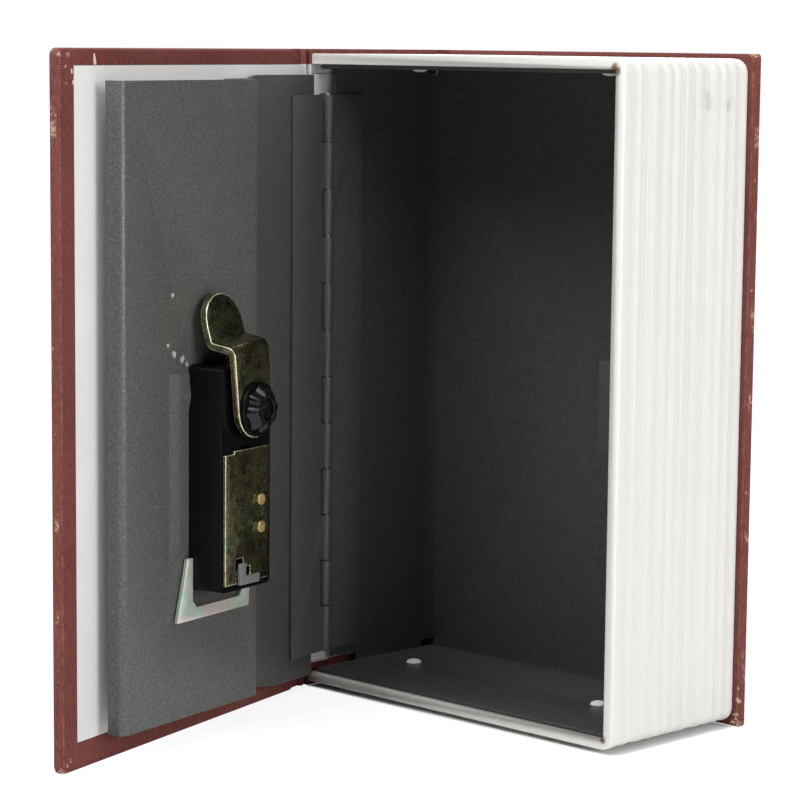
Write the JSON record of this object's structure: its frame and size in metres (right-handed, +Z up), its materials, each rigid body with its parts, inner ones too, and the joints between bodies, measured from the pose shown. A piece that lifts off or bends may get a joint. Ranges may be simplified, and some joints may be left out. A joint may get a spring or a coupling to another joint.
{
  "type": "book diversion safe",
  "caption": "Steel safe with a combination cam lock on its hinged door, inside a hollow cloth-bound book with a waved page block.",
  "frame": {"origin": "middle of the bounding box of the open book at the surface it stands on", "axes": "+Z up along the spine, +X from the spine to the fore-edge of the page block, +Y from the open front to the back cover"},
  "size_m": [0.1194, 0.1682, 0.18],
  "materials": {
    "bookcloth": "fine-grained burgundy bookcloth, pale where it is rubbed",
    "board": "grey binder's board",
    "endpaper": "smooth off-white paper",
    "white_plastic": "satin white moulding",
    "painted_steel": "charcoal powder coat",
    "bare_steel": "plain",
    "black_plastic": "glossy black",
    "yellow_zinc": "yellow chromate zinc plate",
    "brass": "plain",
    "grey_plastic": "pale grey moulding"
  },
  "bodies": {
    "book": {"back_cover_board": "board", "back_cover_cloth": "bookcloth", "back_endpaper": "endpaper", "spine_board": "board", "spine_cloth": "bookcloth", "spine_liner": "endpaper", "page_block_frame": "white_plastic", "steel_box": "painted_steel", "strike_tab": "painted_steel", "frame_peg_1": "white_plastic", "frame_peg_2": "white_plastic", "frame_peg_3": "white_plastic", "frame_peg_4": "white_plastic", "hinge_box_leaf": "painted_steel", "hinge_pin": "bare_steel"},
    "cover_joint": {"front_joint_cloth": "bookcloth"},
    "front_cover": {"front_cover_board": "board", "front_cover_cloth": "bookcloth", "front_endpaper": "endpaper"},
    "door": {"hinge_door_leaf": "painted_steel", "door_panel": "painted_steel", "lock_body": "black_plastic", "lock_backplate": "yellow_zinc", "backplate_rivet_1": "brass", "backplate_rivet_2": "brass", "lock_retaining_clip": "yellow_zinc", "dial_axle": "bare_steel", "locking_bar": "bare_steel", "detent_spring": "bare_steel"},
    "cam": {"cam_spindle": "bare_steel", "thumb_knob": "black_plastic", "cam_lever": "yellow_zinc", "cam_washer": "black_plastic", "cam_nut": "black_plastic"},
    "lower_dial": {"dial_1": "black_plastic", "code_sleeve_1": "brass"},
    "middle_dial": {"dial_2": "black_plastic", "code_sleeve_2": "brass"},
    "upper_dial": {"dial_3": "black_plastic", "code_sleeve_3": "brass"},
    "reset": {"reset_lever": "grey_plastic"}
  },
  "joints": [
    {"name": "door_hinge", "type": "hinge", "parent": "book", "child": "door", "pos_m": [-0.0521, 0.03358, 0.0895], "axis": [0, 0, 1], "range_deg": [0, 77.6]},
    {"name": "cover_follow", "type": "hinge", "parent": "book", "child": "cover_joint", "pos_m": [-0.0585, 0.02958, 0.09], "axis": [0, 0, 1], "range_deg": [0, 73.7]},
    {"name": "cover_hinge", "type": "hinge", "parent": "cover_joint", "child": "front_cover", "pos_m": [-0.0585, 0.02958, 0.09], "axis": [0, 0, -1], "range_deg": [0, 105]},
    {"name": "cam_turn", "type": "hinge", "parent": "door", "child": "cam", "pos_m": [-0.03776, -0.03166, 0.0884], "axis": [0.9767, 0.2147, 0], "range_deg": [-6.5, 83.5]},
    {"name": "lower_dial_turn", "type": "hinge", "parent": "door", "child": "lower_dial", "pos_m": [-0.02682, -0.02925, 0.0512], "axis": [0, 0, 1], "continuous": true},
    {"name": "middle_dial_turn", "type": "hinge", "parent": "door", "child": "middle_dial", "pos_m": [-0.02682, -0.02925, 0.0607], "axis": [0, 0, 1], "continuous": true},
    {"name": "upper_dial_turn", "type": "hinge", "parent": "door", "child": "upper_dial", "pos_m": [-0.02682, -0.02925, 0.0702], "axis": [0, 0, 1], "continuous": true},
    {"name": "reset_slide", "type": "slide", "parent": "door", "child": "reset", "axis": [-0.2147, 0.9767, 0], "range_m": [0, 0.0032]}
  ],
  "couplings": [
    {"joint": "cover_follow", "follows": "door_hinge", "ratio": 0.94845}
  ]
}
